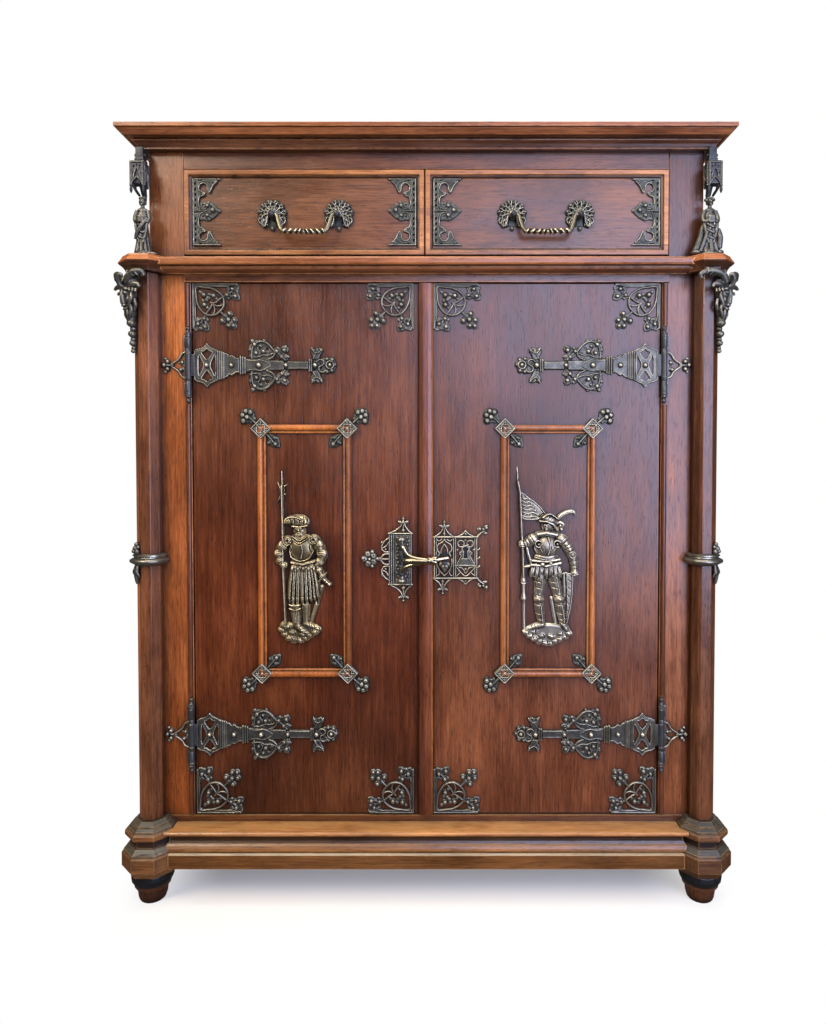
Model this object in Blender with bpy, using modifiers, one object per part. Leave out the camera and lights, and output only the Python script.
"""Half-height neo-Gothic side cabinet: panelled carcass with corner columns, two drawers over two doors, cast mounts."""

import math

import bmesh
import bpy
from mathutils import Vector

for old in list(bpy.data.objects):
    bpy.data.objects.remove(old, do_unlink=True)

# ---------------------------------------------------------------- driving sizes, millimetres
# x runs to the right, y runs back from the face of the stiles, z runs up from the floor.
HEIGHT = 1298.0
DEPTH = 430.0  # face of the stiles to the rear face of the back
HALF_W = 467.0  # outer face of the side boards
FRONT_REACH = 52.2  # how far the column bases stand in front of the stiles
Y_MID = (DEPTH - FRONT_REACH) / 2.0
GAP = 0.4  # clearance between neighbouring pieces

BOARD = 22.0
STILE_IN = 398.0  # inner edge of each stile beside the doors
STILE_UP = 408.6  # and beside the drawers
COL_X, COL_Y = 468.0, -6.0  # centre of each corner column
COL_A = 19.7  # half the width across the flats of the shaft

Z_CARCASS = 66.0
Z_PLINTH_TOP = 139.0
Z_DOOR_0, Z_DOOR_1 = 140.6, 1047.6
Z_WAIST_0, Z_WAIST_1 = 1048.6, 1092.2
Z_DRAWER_0, Z_DRAWER_1 = 1093.0, 1236.6
Z_CORNICE_0, Z_SLAB = 1265.6, 1291.4
CORNICE_REACH = 41.0
PLINTH_REACH = 36.0

DOOR_T = 22.0
DOOR_Y = 1.0  # face of the doors behind the face of the stiles
DOOR_EDGE = 396.0
HINGE_X, HINGE_Y, BARREL_R, PIN_R = 401.0, -6.0, 5.0, 2.4
HINGE_Z = (909.0, 279.0)

DRAWER_TRAVEL = 300.0

COLLECTION = bpy.data.collections.new("low_side_cabinet")
CUTTERS = bpy.data.collections.new("cutters")
for c in (COLLECTION, CUTTERS):
    bpy.context.scene.collection.children.link(c)


def row(x, y, z):
    return Vector((x, y - Y_MID, z)) * 0.001


# ---------------------------------------------------------------- materials
def material(name, colour, roughness, metallic):
    m = bpy.data.materials.new(name)
    m.use_nodes = True
    s = m.node_tree.nodes["Principled BSDF"]
    s.inputs["Base Color"].default_value = (*colour, 1.0)
    s.inputs["Roughness"].default_value = roughness
    s.inputs["Metallic"].default_value = metallic
    return m


KINDS = {
    "walnut": ((0.150, 0.052, 0.024), 0.38, 0.0),
    "walnut_light": ((0.230, 0.085, 0.034), 0.40, 0.0),
    "inside": ((0.270, 0.150, 0.080), 0.60, 0.0),
    "ebonised": ((0.012, 0.013, 0.016), 0.30, 0.0),
    "old_brass": ((0.210, 0.165, 0.095), 0.42, 1.0),
    "bright_brass": ((0.560, 0.400, 0.160), 0.28, 1.0),
    "iron": ((0.120, 0.115, 0.110), 0.50, 1.0),
}


# ---------------------------------------------------------------- bodies that move
def empty(name, at, parent=None):
    e = bpy.data.objects.new(name, None)
    COLLECTION.objects.link(e)
    e.location = at if parent is None else at - Vector(parent["at"])
    e.parent = parent
    e["at"] = at
    return e


LEFT_DOOR = empty("axis_left_door", row(-HINGE_X, HINGE_Y, 0.0))
RIGHT_DOOR = empty("axis_right_door", row(HINGE_X, HINGE_Y, 0.0))
PIVOT_X, PIVOT_Y = -41.5, -14.0
HANDLE = empty("axis_latch_handle", row(PIVOT_X, PIVOT_Y, 582.0), LEFT_DOOR)
DRAWER_L = empty("axis_drawer_left", row(-206.0, 0.0, 1166.0))
DRAWER_R = empty("axis_drawer_right", row(203.0, 0.0, 1166.0))
BAIL_Y, BAIL_Z = -13.0, 1158.0
BAIL_L = empty("axis_bail_left", row(-203.4, BAIL_Y, BAIL_Z), DRAWER_L)
BAIL_R = empty("axis_bail_right", row(201.6, BAIL_Y, BAIL_Z), DRAWER_R)


# ---------------------------------------------------------------- modelling helpers
def make(name, bm, kind, parent=None, smooth=False, cutter=False):
    """An object from a bmesh in cabinet millimetres, its origin at its middle or on its parent's axis."""
    bmesh.ops.recalc_face_normals(bm, faces=bm.faces[:])
    xs = [v.co for v in bm.verts]
    mid = Vector([(min(c[i] for c in xs) + max(c[i] for c in xs)) / 2 for i in range(3)])
    at = row(*mid) if parent is None else Vector(parent["at"])
    for v in bm.verts:
        v.co = row(*v.co) - at
    mesh = bpy.data.meshes.new(name)
    bm.to_mesh(mesh)
    bm.free()
    ob = bpy.data.objects.new(name, mesh)
    ob.location = at if parent is None else Vector((0.0, 0.0, 0.0))
    ob.parent = parent
    if cutter:
        CUTTERS.objects.link(ob)
        ob.hide_render = True
        ob.display_type = "WIRE"
    else:
        COLLECTION.objects.link(ob)
        mesh.materials.append(material(name + "_finish", *KINDS[kind]))
    for p in mesh.polygons:
        p.use_smooth = smooth
    return ob


def cut(ob, cutter, operation="DIFFERENCE"):
    m = ob.modifiers.new(operation.lower(), "BOOLEAN")
    m.operation = operation
    m.solver = "EXACT"
    m.object = cutter
    return ob


def box_bm(x0, x1, y0, y1, z0, z1, bm=None):
    bm = bm or bmesh.new()
    made = bmesh.ops.create_cube(bm, size=1.0)["verts"]
    for v in made:
        v.co = Vector(
            (
                x0 + (v.co.x + 0.5) * (x1 - x0),
                y0 + (v.co.y + 0.5) * (y1 - y0),
                z0 + (v.co.z + 0.5) * (z1 - z0),
            )
        )
    return bm


def board(name, x0, x1, y0, y1, z0, z1, kind="walnut", parent=None):
    return make(name, box_bm(x0, x1, y0, y1, z0, z1), kind, parent)


def box_cutter(name, *limits, parent=None):
    return make(name, box_bm(*limits), None, parent, cutter=True)


def prism_bm(outline, place, a, b):
    """A closed outline carried from a to b; place(u, v, w) gives the point."""
    bm = bmesh.new()
    first = [bm.verts.new(place(u, v, a)) for u, v in outline]
    last = [bm.verts.new(place(u, v, b)) for u, v in outline]
    n = len(outline)
    bm.faces.new(first)
    bm.faces.new(last)
    for i in range(n):
        bm.faces.new((first[i], first[(i + 1) % n], last[(i + 1) % n], last[i]))
    return bm


def along_x(outline, x0, x1):
    return prism_bm(outline, lambda u, v, w: Vector((w, u, v)), x0, x1)


def along_y(outline, y0, y1):
    return prism_bm(outline, lambda u, v, w: Vector((u, w, v)), y0, y1)


def along_z(outline, z0, z1):
    return prism_bm(outline, lambda u, v, w: Vector((u, v, w)), z0, z1)


def loft_bm(rings):
    """Rings of equally many points, bottom to top, closed at both ends."""
    bm = bmesh.new()
    rows = [[bm.verts.new(Vector(p)) for p in ring] for ring in rings]
    n = len(rows[0])
    bm.faces.new(rows[0])
    bm.faces.new(rows[-1])
    for lower, upper in zip(rows, rows[1:]):
        for i in range(n):
            bm.faces.new((lower[i], lower[(i + 1) % n], upper[(i + 1) % n], upper[i]))
    return bm


def octagon(cx, cy, apothem, z):
    r = apothem / math.cos(math.pi / 8)
    return [
        (
            cx + r * math.cos(math.pi / 8 + k * math.pi / 4),
            cy + r * math.sin(math.pi / 8 + k * math.pi / 4),
            z,
        )
        for k in range(8)
    ]


def circle(cx, cy, r, z, n=12):
    return [
        (cx + r * math.cos(2 * math.pi * k / n), cy + r * math.sin(2 * math.pi * k / n), z)
        for k in range(n)
    ]


def octagonal(levels, cx, grow=0.0):
    lift = [(-grow if i == 0 else grow if i == len(levels) - 1 else 0.0) for i in range(len(levels))]
    return loft_bm([octagon(cx, COL_Y, a + grow, z + d) for (z, a), d in zip(levels, lift)])


def joined(name, first, *others):
    """first, united with helper solids that overlap it."""
    for i, bm in enumerate(others):
        cut(first, make(f"{name}_add{i}", bm, None, first.parent, cutter=True), "UNION")
    return first


def mirrored(outline, side):
    return [(side * u, v) for u, v in outline]


# ---------------------------------------------------------------- corner columns
BASE = [
    (53.2, 38.0),
    (66.0, 46.2),
    (88.4, 46.2),
    (90.2, 44.8),
    (90.8, 42.8),
    (92.2, 42.6),
    (93.2, 43.8),
    (101.2, 36.6),
    (102.4, 33.6),
    (113.4, 33.6),
    (114.8, 37.0),
    (116.4, 40.4),
    (119.0, 41.4),
    (124.8, 41.0),
    (127.2, 38.4),
    (127.6, 36.4),
    (128.8, 36.2),
    (129.6, 37.0),
    (133.6, 32.4),
    (134.0, 30.6),
    (135.0, 30.4),
    (135.8, 31.0),
    (141.6, 24.0),
]
# the plain outline that neighbours are cut to, without the quirks
BASE_CLEAR = [
    (53.2, 38.0),
    (66.0, 46.2),
    (88.4, 46.2),
    (93.2, 43.9),
    (101.2, 37.4),
    (113.4, 37.4),
    (116.4, 41.5),
    (124.8, 41.5),
    (129.6, 37.4),
    (135.8, 31.4),
    (141.6, 24.4),
]
BASE_TOP = BASE[-1][0]
CAPITAL = [
    (1060.6, 31.5),
    (1064.5, 32.8),
    (1069.0, 36.4),
    (1073.0, 41.6),
    (1075.2, 42.6),
    (1083.8, 36.8),
    (1086.0, 36.4),
]


def corner_notch(name, side):
    inner = sorted((side * (HALF_W + GAP), side * 350.0))
    return box_cutter(name, inner[0], inner[1], -GAP, 120.0, 40.0, 1300.0)


for side, word in ((-1, "left"), (1, "right")):
    cx = side * COL_X
    notch = corner_notch(f"cut_corner_{word}", side)
    cut(make(f"column_base_{word}", octagonal(BASE, cx), "walnut"), notch)
    shaft = make(
        f"column_shaft_{word}",
        octagonal([(BASE_TOP + GAP, COL_A), (1060.6 - GAP, COL_A)], cx),
        "walnut",
    )
    cut(shaft, notch)
    cut(make(f"column_capital_{word}", octagonal(CAPITAL, cx), "walnut"), notch)

# ---------------------------------------------------------------- carcass
for side, word in ((-1, "left"), (1, "right")):
    make(
        f"front_stile_{word}",
        along_y(
            [
                (side * x, z)
                for x, z in (
                    (STILE_IN, Z_CARCASS),
                    (HALF_W, Z_CARCASS),
                    (HALF_W, Z_SLAB - GAP),
                    (STILE_UP, Z_SLAB - GAP),
                    (STILE_UP, Z_WAIST_0 - GAP),
                    (STILE_IN, Z_WAIST_0 - GAP),
                )
            ],
            0.0,
            BOARD,
        ),
        "walnut",
    )
    a, b = sorted((side * (HALF_W - BOARD), side * HALF_W))
    board(
        f"side_panel_{word}", a, b, BOARD + GAP, DEPTH - 18.0 - GAP, Z_CARCASS, Z_SLAB - GAP
    )
board("back_panel", -HALF_W, HALF_W, DEPTH - 18.0, DEPTH, Z_CARCASS, Z_SLAB - GAP, "inside")
INNER = HALF_W - BOARD - GAP
make(
    "bottom_board",
    along_z(
        [
            (-INNER, BOARD + GAP),
            (-STILE_IN + GAP, BOARD + GAP),
            (-STILE_IN + GAP, GAP),
            (STILE_IN - GAP, GAP),
            (STILE_IN - GAP, BOARD + GAP),
            (INNER, BOARD + GAP),
            (INNER, DEPTH - 18.0 - GAP),
            (-INNER, DEPTH - 18.0 - GAP),
        ],
        116.0,
        138.6,
    ),
    "inside",
)
board("shelf", -INNER, INNER, 60.0, DEPTH - 18.0 - GAP, 588.0, 608.0, "inside")
board(
    "drawer_deck", -INNER, INNER, BOARD + GAP, DEPTH - 18.0 - GAP, 1074.0, 1094.4, "inside"
)
board(
    "drawer_divider", -11.0, 6.0, BOARD + 2.0, DEPTH - 18.0 - GAP, 1094.4 + GAP, 1252.0, "inside"
)
board(
    "frieze_rail",
    -STILE_UP + GAP,
    STILE_UP - GAP,
    0.0,
    BOARD,
    Z_DRAWER_1 + 1.4,
    Z_SLAB - GAP,
)

# waist: rail between the stiles with a bead and cove standing proud and running to the capitals
WAIST = [
    (-GAP, Z_WAIST_1),
    (-28.6, 1083.6),
    (-33.6, 1082.4),
    (-35.4, 1079.8),
    (-35.4, 1073.0),
    (-34.2, 1071.0),
    (-31.0, 1070.2),
    (-26.0, 1070.0),
    (-25.6, 1068.8),
    (-27.2, 1068.2),
    (-26.0, 1065.4),
    (-22.0, 1063.2),
    (-16.6, 1062.2),
    (-9.6, 1062.0),
    (-9.0, 1061.0),
    (-GAP, 1061.0),
]
waist = make("waist_moulding", along_x(WAIST, -460.0, 460.0), "walnut_light")
joined(
    "waist_moulding",
    waist,
    box_bm(-STILE_UP + GAP, STILE_UP - GAP, -4.0, BOARD, Z_WAIST_0, Z_WAIST_1 - 0.6),
)
PLINTH = [
    (0.0, 0.0),
    (PLINTH_REACH, 0.0),
    (PLINTH_REACH, 23.0),
    (33.4, 25.4),
    (30.6, 25.8),
    (30.6, 27.4),
    (32.8, 28.2),
    (32.2, 31.6),
    (29.6, 35.6),
    (27.0, 38.4),
    (24.8, 42.0),
    (24.2, 46.4),
    (25.0, 50.2),
    (27.0, 53.0),
    (30.6, 53.8),
    (34.6, 55.0),
    (PLINTH_REACH, 57.0),
    (PLINTH_REACH, 59.2),
    (34.4, 61.0),
    (31.4, 61.6),
    (2.0, 62.6),
    (2.0, 74.0),
    (0.0, 74.0),
]
PLINTH_Z = 65.0
front = make(
    "plinth_front",
    along_x([(-GAP - r, PLINTH_Z + h) for r, h in PLINTH], -460.0, 460.0),
    "walnut_light",
)
for side, word in ((-1, "left"), (1, "right")):
    cut(
        waist,
        make(
            f"cut_waist_{word}", octagonal(CAPITAL + [(1110.0, 36.4)], side * COL_X, GAP), None, cutter=True
        ),
    )
    cut(
        front,
        make(f"cut_plinth_{word}", octagonal(BASE_CLEAR, side * COL_X, GAP), None, cutter=True),
    )
    flank = make(
        f"plinth_{word}",
        prism_bm(
            [(side * (HALF_W + GAP + r * 0.93), PLINTH_Z + h) for r, h in PLINTH],
            lambda u, v, w: Vector((u, w, v)),
            20.0,
            DEPTH,
        ),
        "walnut",
    )
    cut(
        flank,
        make(f"cut_flank_{word}", octagonal(BASE_CLEAR, side * COL_X, GAP), None, cutter=True),
    )

# cornice: mitred moulding on three sides under the top board
CORNICE = [
    (GAP, Z_CORNICE_0),
    (11.4, Z_CORNICE_0),
    (12.8, 1266.6),
    (12.8, 1268.2),
    (13.8, 1269.4),
    (16.0, 1273.4),
    (19.4, 1277.0),
    (20.6, 1277.8),
    (20.6, 1279.2),
    (18.6, 1279.8),
    (18.0, 1282.6),
    (20.4, 1284.2),
    (26.4, 1283.6),
    (28.4, 1282.4),
    (30.2, 1282.8),
    (32.2, 1285.0),
    (35.0, 1288.2),
    (36.8, 1290.2),
    (36.8, Z_SLAB - GAP),
    (GAP, Z_SLAB - GAP),
]
rings = []
for sx, back in ((-1, True), (-1, False), (1, False), (1, True)):
    rings.append(
        [(sx * (HALF_W + o), DEPTH if back else -o, z) for o, z in CORNICE]
    )
make("cornice_frame", loft_bm(rings), "walnut_light")
board(
    "top_board",
    -HALF_W - CORNICE_REACH,
    HALF_W + CORNICE_REACH,
    -CORNICE_REACH,
    DEPTH,
    Z_SLAB,
    HEIGHT,
    "walnut_light",
)


# ---------------------------------------------------------------- feet
def turned(name, profile, cx, cy, steps=20):
    """Turned foot: the half profile, top to bottom, spun about its own axis."""
    mesh = bpy.data.meshes.new(name)
    mesh.from_pydata(
        [(r * 0.001, 0.0, z * 0.001) for r, z in profile],
        [(i, i + 1) for i in range(len(profile) - 1)],
        [],
    )
    ob = bpy.data.objects.new(name, mesh)
    COLLECTION.objects.link(ob)
    ob.location = row(cx, cy, 0.0)
    m = ob.modifiers.new("spin", "SCREW")
    m.steps = m.render_steps = steps
    m.use_merge_vertices = True
    m.merge_threshold = 0.00005
    m.use_smooth_shade = True
    mesh.materials.append(material(name + "_finish", *KINDS["walnut"]))
    return ob


FOOT = [
    (0.0, 52.8),
    (31.0, 52.8),
    (34.2, 49.0),
    (35.2, 42.0),
    (34.2, 36.0),
    (31.4, 32.4),
    (30.6, 30.0),
    (29.6, 25.4),
    (25.6, 22.6),
    (25.2, 20.0),
    (23.6, 8.0),
    (21.4, 1.6),
    (19.8, 0.0),
    (0.0, 0.0),
]
REAR_FOOT = [(0.0, 65.6), (30.0, 65.6), (33.0, 58.0), (31.0, 40.0), (24.0, 20.0), (20.0, 0.0), (0.0, 0.0)]
for side, word in ((-1, "left"), (1, "right")):
    turned(f"foot_front_{word}", FOOT, side * (COL_X + 1.0), COL_Y)
    turned(f"foot_rear_{word}", REAR_FOOT, side * 425.0, DEPTH - 48.0, 16)


# ---------------------------------------------------------------- cast corner figures and brackets
def corner_figure(word, side):
    """Robed statuette standing on the capital under a hung canopy, cast as one piece."""
    cx, cy = side * (COL_X + 2.0), COL_Y - 16.0
    levels = [
        (1086.4, 15.0),
        (1092.0, 15.0),
        (1093.0, 11.5),
        (1120.0, 9.5),
        (1140.0, 8.0),
        (1152.0, 10.0),
        (1163.0, 9.0),
        (1166.0, 4.0),
        (1170.0, 6.0),
        (1178.0, 6.0),
        (1183.0, 3.0),
        (1189.0, 3.0),
        (1191.0, 13.0),
        (1236.0, 14.0),
        (1239.0, 8.0),
        (1265.2, 8.0),
    ]
    make(
        f"niche_figure_{word}",
        loft_bm([circle(cx, cy, r, z, 8) for z, r in levels]),
        "old_brass",
    )


def corner_bracket(word, side):
    """Grotesque head with curled horns over a tapering tail, on the outer diagonal of the column."""
    s = math.sqrt(0.5)
    ox = side * (COL_X + (COL_A + 0.5) * s)
    oy = COL_Y - (COL_A + 0.5) * s
    n = (side * s, -s)
    t = (-side * s, -s)
    levels = [
        (928.0, 5.0, 6.0),
        (946.0, 7.0, 9.0),
        (952.0, 7.0, 12.0),
        (968.0, 8.0, 14.0),
        (980.0, 14.0, 22.0),
        (1000.0, 20.0, 30.0),
        (1020.0, 22.0, 34.0),
        (1032.0, 27.0, 26.0),
        (1046.0, 27.0, 24.0),
        (1058.0, 19.0, 20.0),
    ]
    rings = []
    for z, w, p in levels:
        ring = []
        for q, d in (
            (-1.0, 0.0),
            (-1.0, 0.45),
            (-0.6, 0.85),
            (0.0, 1.0),
            (0.6, 0.85),
            (1.0, 0.45),
            (1.0, 0.0),
        ):
            ring.append(
                (ox + n[0] * p * d + t[0] * w * q, oy + n[1] * p * d + t[1] * w * q, z)
            )
        rings.append(ring)
    make(f"mask_bracket_{word}", loft_bm(rings), "old_brass")


for side, word in ((-1, "left"), (1, "right")):
    corner_figure(word, side)
    corner_bracket(word, side)


# ---------------------------------------------------------------- hinges
def cylinder_bm(cx, cy, r, z0, z1, n=16):
    return loft_bm([circle(cx, cy, r, z0, n), circle(cx, cy, r, z1, n)])


LEAF = [(404.0, 19.0), (418.0, 21.0), (428.0, 12.0), (438.0, 13.0), (447.4, 0.0), (438.0, -13.0), (428.0, -12.0), (418.0, -21.0), (404.0, -19.0)]
STRAP = [
    (393.5, 22.0), (386.0, 34.0), (363.0, 34.0), (355.0, 22.0), (343.0, 12.0), (318.0, 9.0), (300.0, 10.0),
    (292.0, 30.0), (276.0, 40.0), (262.0, 30.0), (238.0, 38.0), (231.0, 20.0), (238.0, 8.0), (198.0, 7.0),
    (184.0, 28.0), (168.0, 12.0), (152.0, 10.0), (152.0, -10.0), (168.0, -12.0), (184.0, -28.0),
    (198.0, -7.0), (238.0, -8.0), (231.0, -20.0), (238.0, -38.0), (262.0, -30.0), (276.0, -40.0), (292.0, -30.0),
    (300.0, -10.0), (318.0, -9.0), (343.0, -12.0), (355.0, -22.0), (363.0, -34.0), (386.0, -34.0), (393.5, -22.0),
]
KNUCKLE = 27.0  # half the length of the strap's own knuckle

for side, word, door in ((-1, "left", LEFT_DOOR), (1, "right", RIGHT_DOOR)):
    hx = side * HINGE_X
    for level, zc in zip(("upper", "lower"), HINGE_Z):
        leaf = make(
            f"hinge_leaf_{level}_{word}",
            loft_bm(
                [
                    circle(hx, HINGE_Y, r, zc + z)
                    for z, r in (
                        (-65.0, 1.6),
                        (-61.0, 4.0),
                        (-57.0, 3.0),
                        (-54.0, BARREL_R),
                        (-KNUCKLE - GAP, BARREL_R),
                        (-KNUCKLE - GAP, PIN_R),
                        (KNUCKLE + GAP, PIN_R),
                        (KNUCKLE + GAP, BARREL_R),
                        (54.0, BARREL_R),
                        (57.0, 3.0),
                        (61.0, 4.0),
                        (65.0, 1.6),
                    )
                ]
            ),
            "old_brass",
        )
        plate = [(side * u, zc + v) for u, v in LEAF]
        strip = [
            (side * u, zc + v) for u, v in ((408.0, -50.0), (413.0, -50.0), (413.0, 50.0), (408.0, 50.0))
        ]
        webs = [
            [(side * u, zc + v) for u, v in ((402.0, a), (411.0, a), (411.0, b), (402.0, b))]
            for a, b in ((-49.0, -30.0), (30.0, 49.0))
        ]
        joined(
            f"hinge_leaf_{level}_{word}",
            leaf,
            along_y([(side * (u if u > 409.0 else 408.0), v) for (u, _), (_, v) in zip(LEAF, plate)], -3.4, -GAP),
            along_y(strip, -3.2, -GAP - 0.1),
            along_y(webs[0], -3.0, -1.4),
            along_y(webs[1], -3.0, -1.4),
        )
        strap = make(
            f"strap_{level}_{word}",
            along_y([(side * u, zc + v) for u, v in STRAP], -3.0, DOOR_Y - GAP),
            "old_brass",
            door,
        )
        joined(
            f"strap_{level}_{word}",
            strap,
            cylinder_bm(hx, HINGE_Y, BARREL_R, zc - KNUCKLE, zc + KNUCKLE),
            box_bm(*sorted((side * 392.0, side * 399.0)), -6.0, -2.0, zc - 18.0, zc + 18.0),
        )
        cut(
            strap,
            make(
                f"cut_bore_{level}_{word}",
                cylinder_bm(hx, HINGE_Y, PIN_R + 0.6, zc - 80.0, zc + 80.0),
                None,
                door,
                cutter=True,
            ),
        )


# ---------------------------------------------------------------- doors
def ring_frame(name, x0, x1, z0, z1, profile, kind, parent):
    """Mitred moulding on a rectangle: profile of (inward, y), carried round the outer edge."""
    bm = bmesh.new()
    loops = []
    for inward, y in profile:
        loops.append(
            [
                bm.verts.new(Vector(p))
                for p in (
                    (x0 + inward, y, z0 + inward),
                    (x1 - inward, y, z0 + inward),
                    (x1 - inward, y, z1 - inward),
                    (x0 + inward, y, z1 - inward),
                )
            ]
        )
    n = len(loops)
    for j in range(n):
        a, b = loops[j], loops[(j + 1) % n]
        for i in range(4):
            bm.faces.new((a[i], a[(i + 1) % 4], b[(i + 1) % 4], b[i]))
    return make(name, bm, kind, parent)


FRAME = [
    (0.0, DOOR_Y - GAP),
    (0.0, -2.4),
    (1.0, -4.6),
    (3.2, -6.4),
    (6.0, -7.0),
    (8.4, -6.0),
    (9.8, -3.8),
    (10.2, -1.6),
    (11.0, -1.4),
    (11.6, -2.8),
    (13.0, -3.3),
    (14.2, -2.6),
    (15.0, -0.8),
    (15.0, DOOR_Y - GAP),
]
board("door_left", -DOOR_EDGE, -0.8, DOOR_Y, DOOR_Y + DOOR_T, Z_DOOR_0, Z_DOOR_1, "walnut", LEFT_DOOR)
board("door_right", 0.8, DOOR_EDGE, DOOR_Y, DOOR_Y + DOOR_T, Z_DOOR_0, Z_DOOR_1, "walnut", RIGHT_DOOR)
make(
    "astragal",
    along_z(
        [(-14.0, DOOR_Y - GAP), (-14.0, -4.0), (-11.5, -7.0), (-6.0, -8.2), (3.0, -8.2), (8.5, -7.0), (11.0, -4.0), (11.0, DOOR_Y - GAP)],
        Z_DOOR_0 + 1.0,
        Z_DOOR_1 - 1.0,
    ),
    "walnut_light",
    RIGHT_DOOR,
)
ring_frame("frame_moulding_left", -287.0, -127.0, 378.0, 809.0, FRAME, "walnut_light", LEFT_DOOR)
ring_frame("frame_moulding_right", 126.0, 288.0, 378.0, 808.5, FRAME, "walnut_light", RIGHT_DOOR)

SOLDIER = [
    (-246.0, 439.0), (-190.0, 439.0), (-188.0, 452.0), (-196.0, 470.0), (-198.0, 500.0), (-178.0, 505.0), (-164.0, 538.0),
    (-182.0, 548.0), (-178.0, 590.0), (-190.0, 620.0), (-212.0, 634.0), (-205.0, 652.0), (-220.0, 664.0), (-236.0, 654.0),
    (-240.0, 662.0), (-238.0, 706.0), (-245.0, 728.0), (-251.0, 706.0), (-251.0, 640.0), (-256.0, 580.0), (-246.0, 570.0), (-247.0, 470.0),
]
KNIGHT = [
    (164.0, 433.0), (246.0, 433.0), (248.0, 450.0), (252.0, 480.0), (252.0, 556.0), (262.0, 566.0), (258.0, 592.0),
    (236.0, 628.0), (228.0, 640.0), (254.0, 652.0), (240.0, 662.0), (214.0, 668.0), (204.0, 690.0), (172.0, 706.0), (162.0, 712.0),
    (155.0, 738.0), (152.0, 712.0), (156.0, 640.0), (159.0, 560.0), (160.0, 510.0), (176.0, 520.0), (178.0, 470.0), (164.0, 450.0),
]
make("figure_left", along_y(SOLDIER, -8.0, DOOR_Y - GAP), "old_brass", LEFT_DOOR)
make("figure_right", along_y(KNIGHT, -8.0, DOOR_Y - GAP), "old_brass", RIGHT_DOOR)

# latch plate with an upright pin between two eyes
LATCH = [
    (-64.0, 536.0), (-50.0, 536.0), (-39.5, 505.0), (-29.0, 536.0), (-24.5, 536.0), (-24.5, 625.0), (-29.0, 625.0),
    (-39.5, 655.0), (-50.0, 625.0), (-64.0, 625.0), (-64.0, 600.0), (-84.0, 596.0), (-110.0, 580.0), (-84.0, 563.0), (-64.0, 560.0),
]
EYE_Z = (549.0, 611.0)
latch = make("latch_plate", along_y(LATCH, -3.4, DOOR_Y - GAP), "old_brass", LEFT_DOOR)
joined(
    "latch_plate",
    latch,
    box_bm(PIVOT_X - 5.0, PIVOT_X + 5.0, -18.5, -2.0, EYE_Z[0] - 4.0, EYE_Z[0] + 4.0),
    box_bm(PIVOT_X - 5.0, PIVOT_X + 5.0, -18.5, -2.0, EYE_Z[1] - 4.0, EYE_Z[1] + 4.0),
    cylinder_bm(PIVOT_X, PIVOT_Y, 2.6, EYE_Z[0] - 9.0, EYE_Z[1] + 9.0, 12),
)
handle = make(
    "latch_handle",
    cylinder_bm(PIVOT_X, PIVOT_Y, 6.4, EYE_Z[0] + 5.0, EYE_Z[1] - 5.0, 16),
    "bright_brass",
    HANDLE,
)
ARM = [
    (-39.0, -14.0, 12.0, 4.4, 582.0),
    (-24.0, -18.0, 11.0, 4.4, 581.0),
    (-4.0, -24.0, 6.5, 5.0, 580.0),
    (8.0, -25.0, 7.5, 6.5, 580.0),
    (20.0, -23.0, 5.5, 5.0, 581.0),
    (26.0, -21.0, 3.0, 3.0, 582.5),
    (38.0, -17.0, 2.4, 2.4, 584.0),
]
joined(
    "latch_handle",
    handle,
    loft_bm(
        [
            [
                (x, y + dy * math.cos(k * math.pi / 4), z + dz * math.sin(k * math.pi / 4))
                for k in range(8)
            ]
            for x, y, dz, dy, z in ARM
        ]
    ),
)
cut(
    handle,
    make(
        "cut_handle_bore",
        cylinder_bm(PIVOT_X, PIVOT_Y, 3.2, 500.0, 660.0, 12),
        None,
        HANDLE,
        cutter=True,
    ),
)

# lock plate with the ledge that carries the end of the handle, and a keyhole through the plate
LOCK = [
    (11.6, 548.0), (19.0, 548.0), (27.0, 517.0), (35.0, 548.0), (84.0, 548.0), (104.0, 524.0), (92.0, 552.0), (98.0, 582.0),
    (92.0, 612.0), (104.0, 636.0), (84.0, 617.5), (38.0, 617.5), (30.0, 648.0), (21.0, 617.5), (11.6, 617.5),
]
lock = make("lock_plate", along_y(LOCK, -3.4, DOOR_Y - GAP), "old_brass", RIGHT_DOOR)
joined("lock_plate", lock, box_bm(25.0, 37.0, -21.0, -2.0, 566.0, 577.4))
KEYHOLE = [(64.4, 582.0), (68.4, 582.0), (68.0, 592.0), (69.6, 595.0), (68.6, 599.0), (66.4, 600.4), (64.2, 599.0), (63.2, 595.0), (64.8, 592.0)]
cut(
    lock,
    make("cut_keyhole", along_y(KEYHOLE, -10.0, 10.0), None, RIGHT_DOOR, cutter=True),
)
board("lock_case", 14.0, 84.0, DOOR_Y + DOOR_T + GAP, DOOR_Y + DOOR_T + 16.0, 556.0, 618.0, "iron", RIGHT_DOOR)


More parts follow.
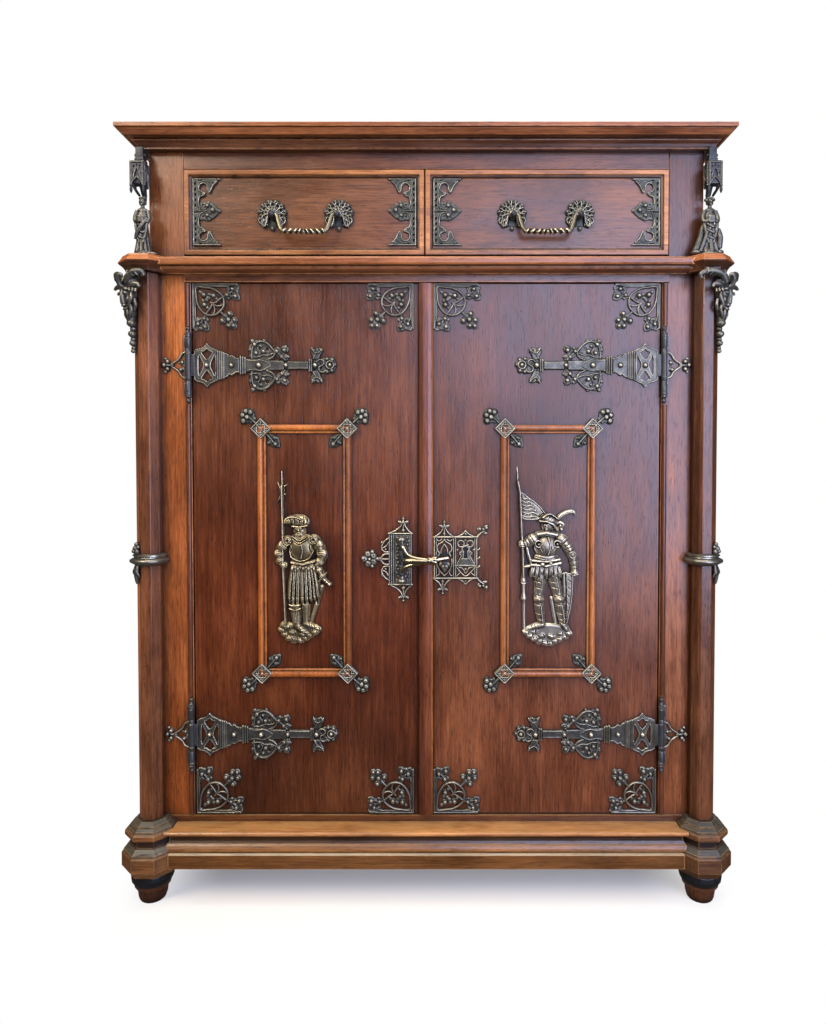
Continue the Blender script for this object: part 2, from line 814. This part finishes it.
# ---------------------------------------------------------------- drawers
def drawer_front(name, x0, x1, parent):
    """Front with its raised edge and a sunk field, in one board."""
    z0, z1 = Z_DRAWER_0 + 0.4, Z_DRAWER_1 - 0.2
    steps = [
        (0.0, 20.0),
        (0.0, -2.6),
        (1.2, -4.4),
        (7.4, -4.4),
        (8.6, -3.4),
        (8.8, -0.4),
        (10.2, -0.6),
        (12.6, 1.0),
        (13.0, 1.8),
        (13.4, 2.6),
    ]
    bm = bmesh.new()
    loops = []
    for inward, y in steps:
        loops.append(
            [
                bm.verts.new(Vector(p))
                for p in (
                    (x0 + inward, y, z0 + inward),
                    (x1 - inward, y, z0 + inward),
                    (x1 - inward, y, z1 - inward),
                    (x0 + inward, y, z1 - inward),
                )
            ]
        )
    bm.faces.new(loops[0])
    bm.faces.new(loops[-1])
    for a, b in zip(loops, loops[1:]):
        for i in range(4):
            bm.faces.new((a[i], a[(i + 1) % 4], b[(i + 1) % 4], b[i]))
    return make(name, bm, "walnut", parent)


FIELD_Y = 2.6  # face of the sunk field
ROSETTE_R, ROSETTE_Z = 24.0, 1162.5
for word, parent, bail_parent, x0, x1, posts in (
    ("left", DRAWER_L, BAIL_L, -407.6, -3.4, (-259.4, -147.4)),
    ("right", DRAWER_R, BAIL_R, -1.9, 407.6, (144.4, 258.8)),
):
    drawer_front(f"drawer_front_{word}", x0, x1, parent)
    b0, b1 = (-394.0, -14.0) if word == "left" else (9.0, 394.0)
    tray = board(f"drawer_box_{word}", b0, b1, 20.0 + GAP, 400.0, 1095.2, 1226.0, "inside", parent)
    cut(
        tray,
        box_cutter(f"cut_tray_{word}", b0 + 11.0, b1 - 11.0, 31.0, 389.0, 1105.0, 1300.0, parent=parent),
    )
    for tag, px, inward in (("a", posts[0], 1), ("b", posts[1], -1)):
        disc = [
            (
                px + ROSETTE_R * math.cos(2 * math.pi * k / 16),
                ROSETTE_Z + ROSETTE_R * math.sin(2 * math.pi * k / 16),
            )
            for k in range(16)
        ]
        rosette = make(
            f"rosette_{word}_{tag}", along_y(disc, -1.4, FIELD_Y - GAP), "old_brass", parent
        )
        e0, e1 = sorted((px - inward * 2.0, px + inward * 7.0))
        joined(
            f"rosette_{word}_{tag}",
            rosette,
            box_bm(e0, e1, BAIL_Y - 5.6, 0.0, BAIL_Z - 5.6, BAIL_Z + 5.6),
        )
        h0, h1 = sorted((px + inward * 1.6, px + inward * 12.0))
        hole = prism_bm(
            [
                (BAIL_Y + 3.6 * math.cos(2 * math.pi * k / 12), BAIL_Z + 3.6 * math.sin(2 * math.pi * k / 12))
                for k in range(12)
            ],
            lambda u, v, w: Vector((w, u, v)),
            h0,
            h1,
        )
        cut(rosette, make(f"cut_post_{word}_{tag}", hole, None, parent, cutter=True))
    # bail: round bar bent to a flat-bottomed loop, its ends turned into the posts
    grip_y = BAIL_Y - 5.0
    left_x, right_x = posts
    path = [
        (left_x + 2.2, BAIL_Y, BAIL_Z, 2.8),
        (left_x + 8.0, BAIL_Y, BAIL_Z, 2.8),
        (left_x + 11.0, BAIL_Y - 0.6, BAIL_Z - 3.4, 3.4),
        (left_x + 17.0, BAIL_Y - 3.8, BAIL_Z - 24.0, 3.4),
        (left_x + 22.0, grip_y, BAIL_Z - 29.0, 4.2),
        (right_x - 22.0, grip_y, BAIL_Z - 29.0, 4.2),
        (right_x - 17.0, BAIL_Y - 3.8, BAIL_Z - 24.0, 3.4),
        (right_x - 11.0, BAIL_Y - 0.6, BAIL_Z - 3.4, 3.4),
        (right_x - 8.0, BAIL_Y, BAIL_Z, 2.8),
        (right_x - 2.2, BAIL_Y, BAIL_Z, 2.8),
    ]
    pts = [Vector(p[:3]) for p in path]
    rings = []
    for i, p in enumerate(pts):
        ahead = (pts[min(i + 1, len(pts) - 1)] - pts[max(i - 1, 0)]).normalized()
        across = Vector((0.0, 1.0, 0.0))
        across = (across - ahead * across.dot(ahead)).normalized()
        up = ahead.cross(across)
        r = path[i][3]
        rings.append(
            [
                p + across * (r * math.cos(2 * math.pi * k / 10)) + up * (r * math.sin(2 * math.pi * k / 10))
                for k in range(10)
            ]
        )
    make(f"bail_{word}", loft_bm(rings), "old_brass", bail_parent)
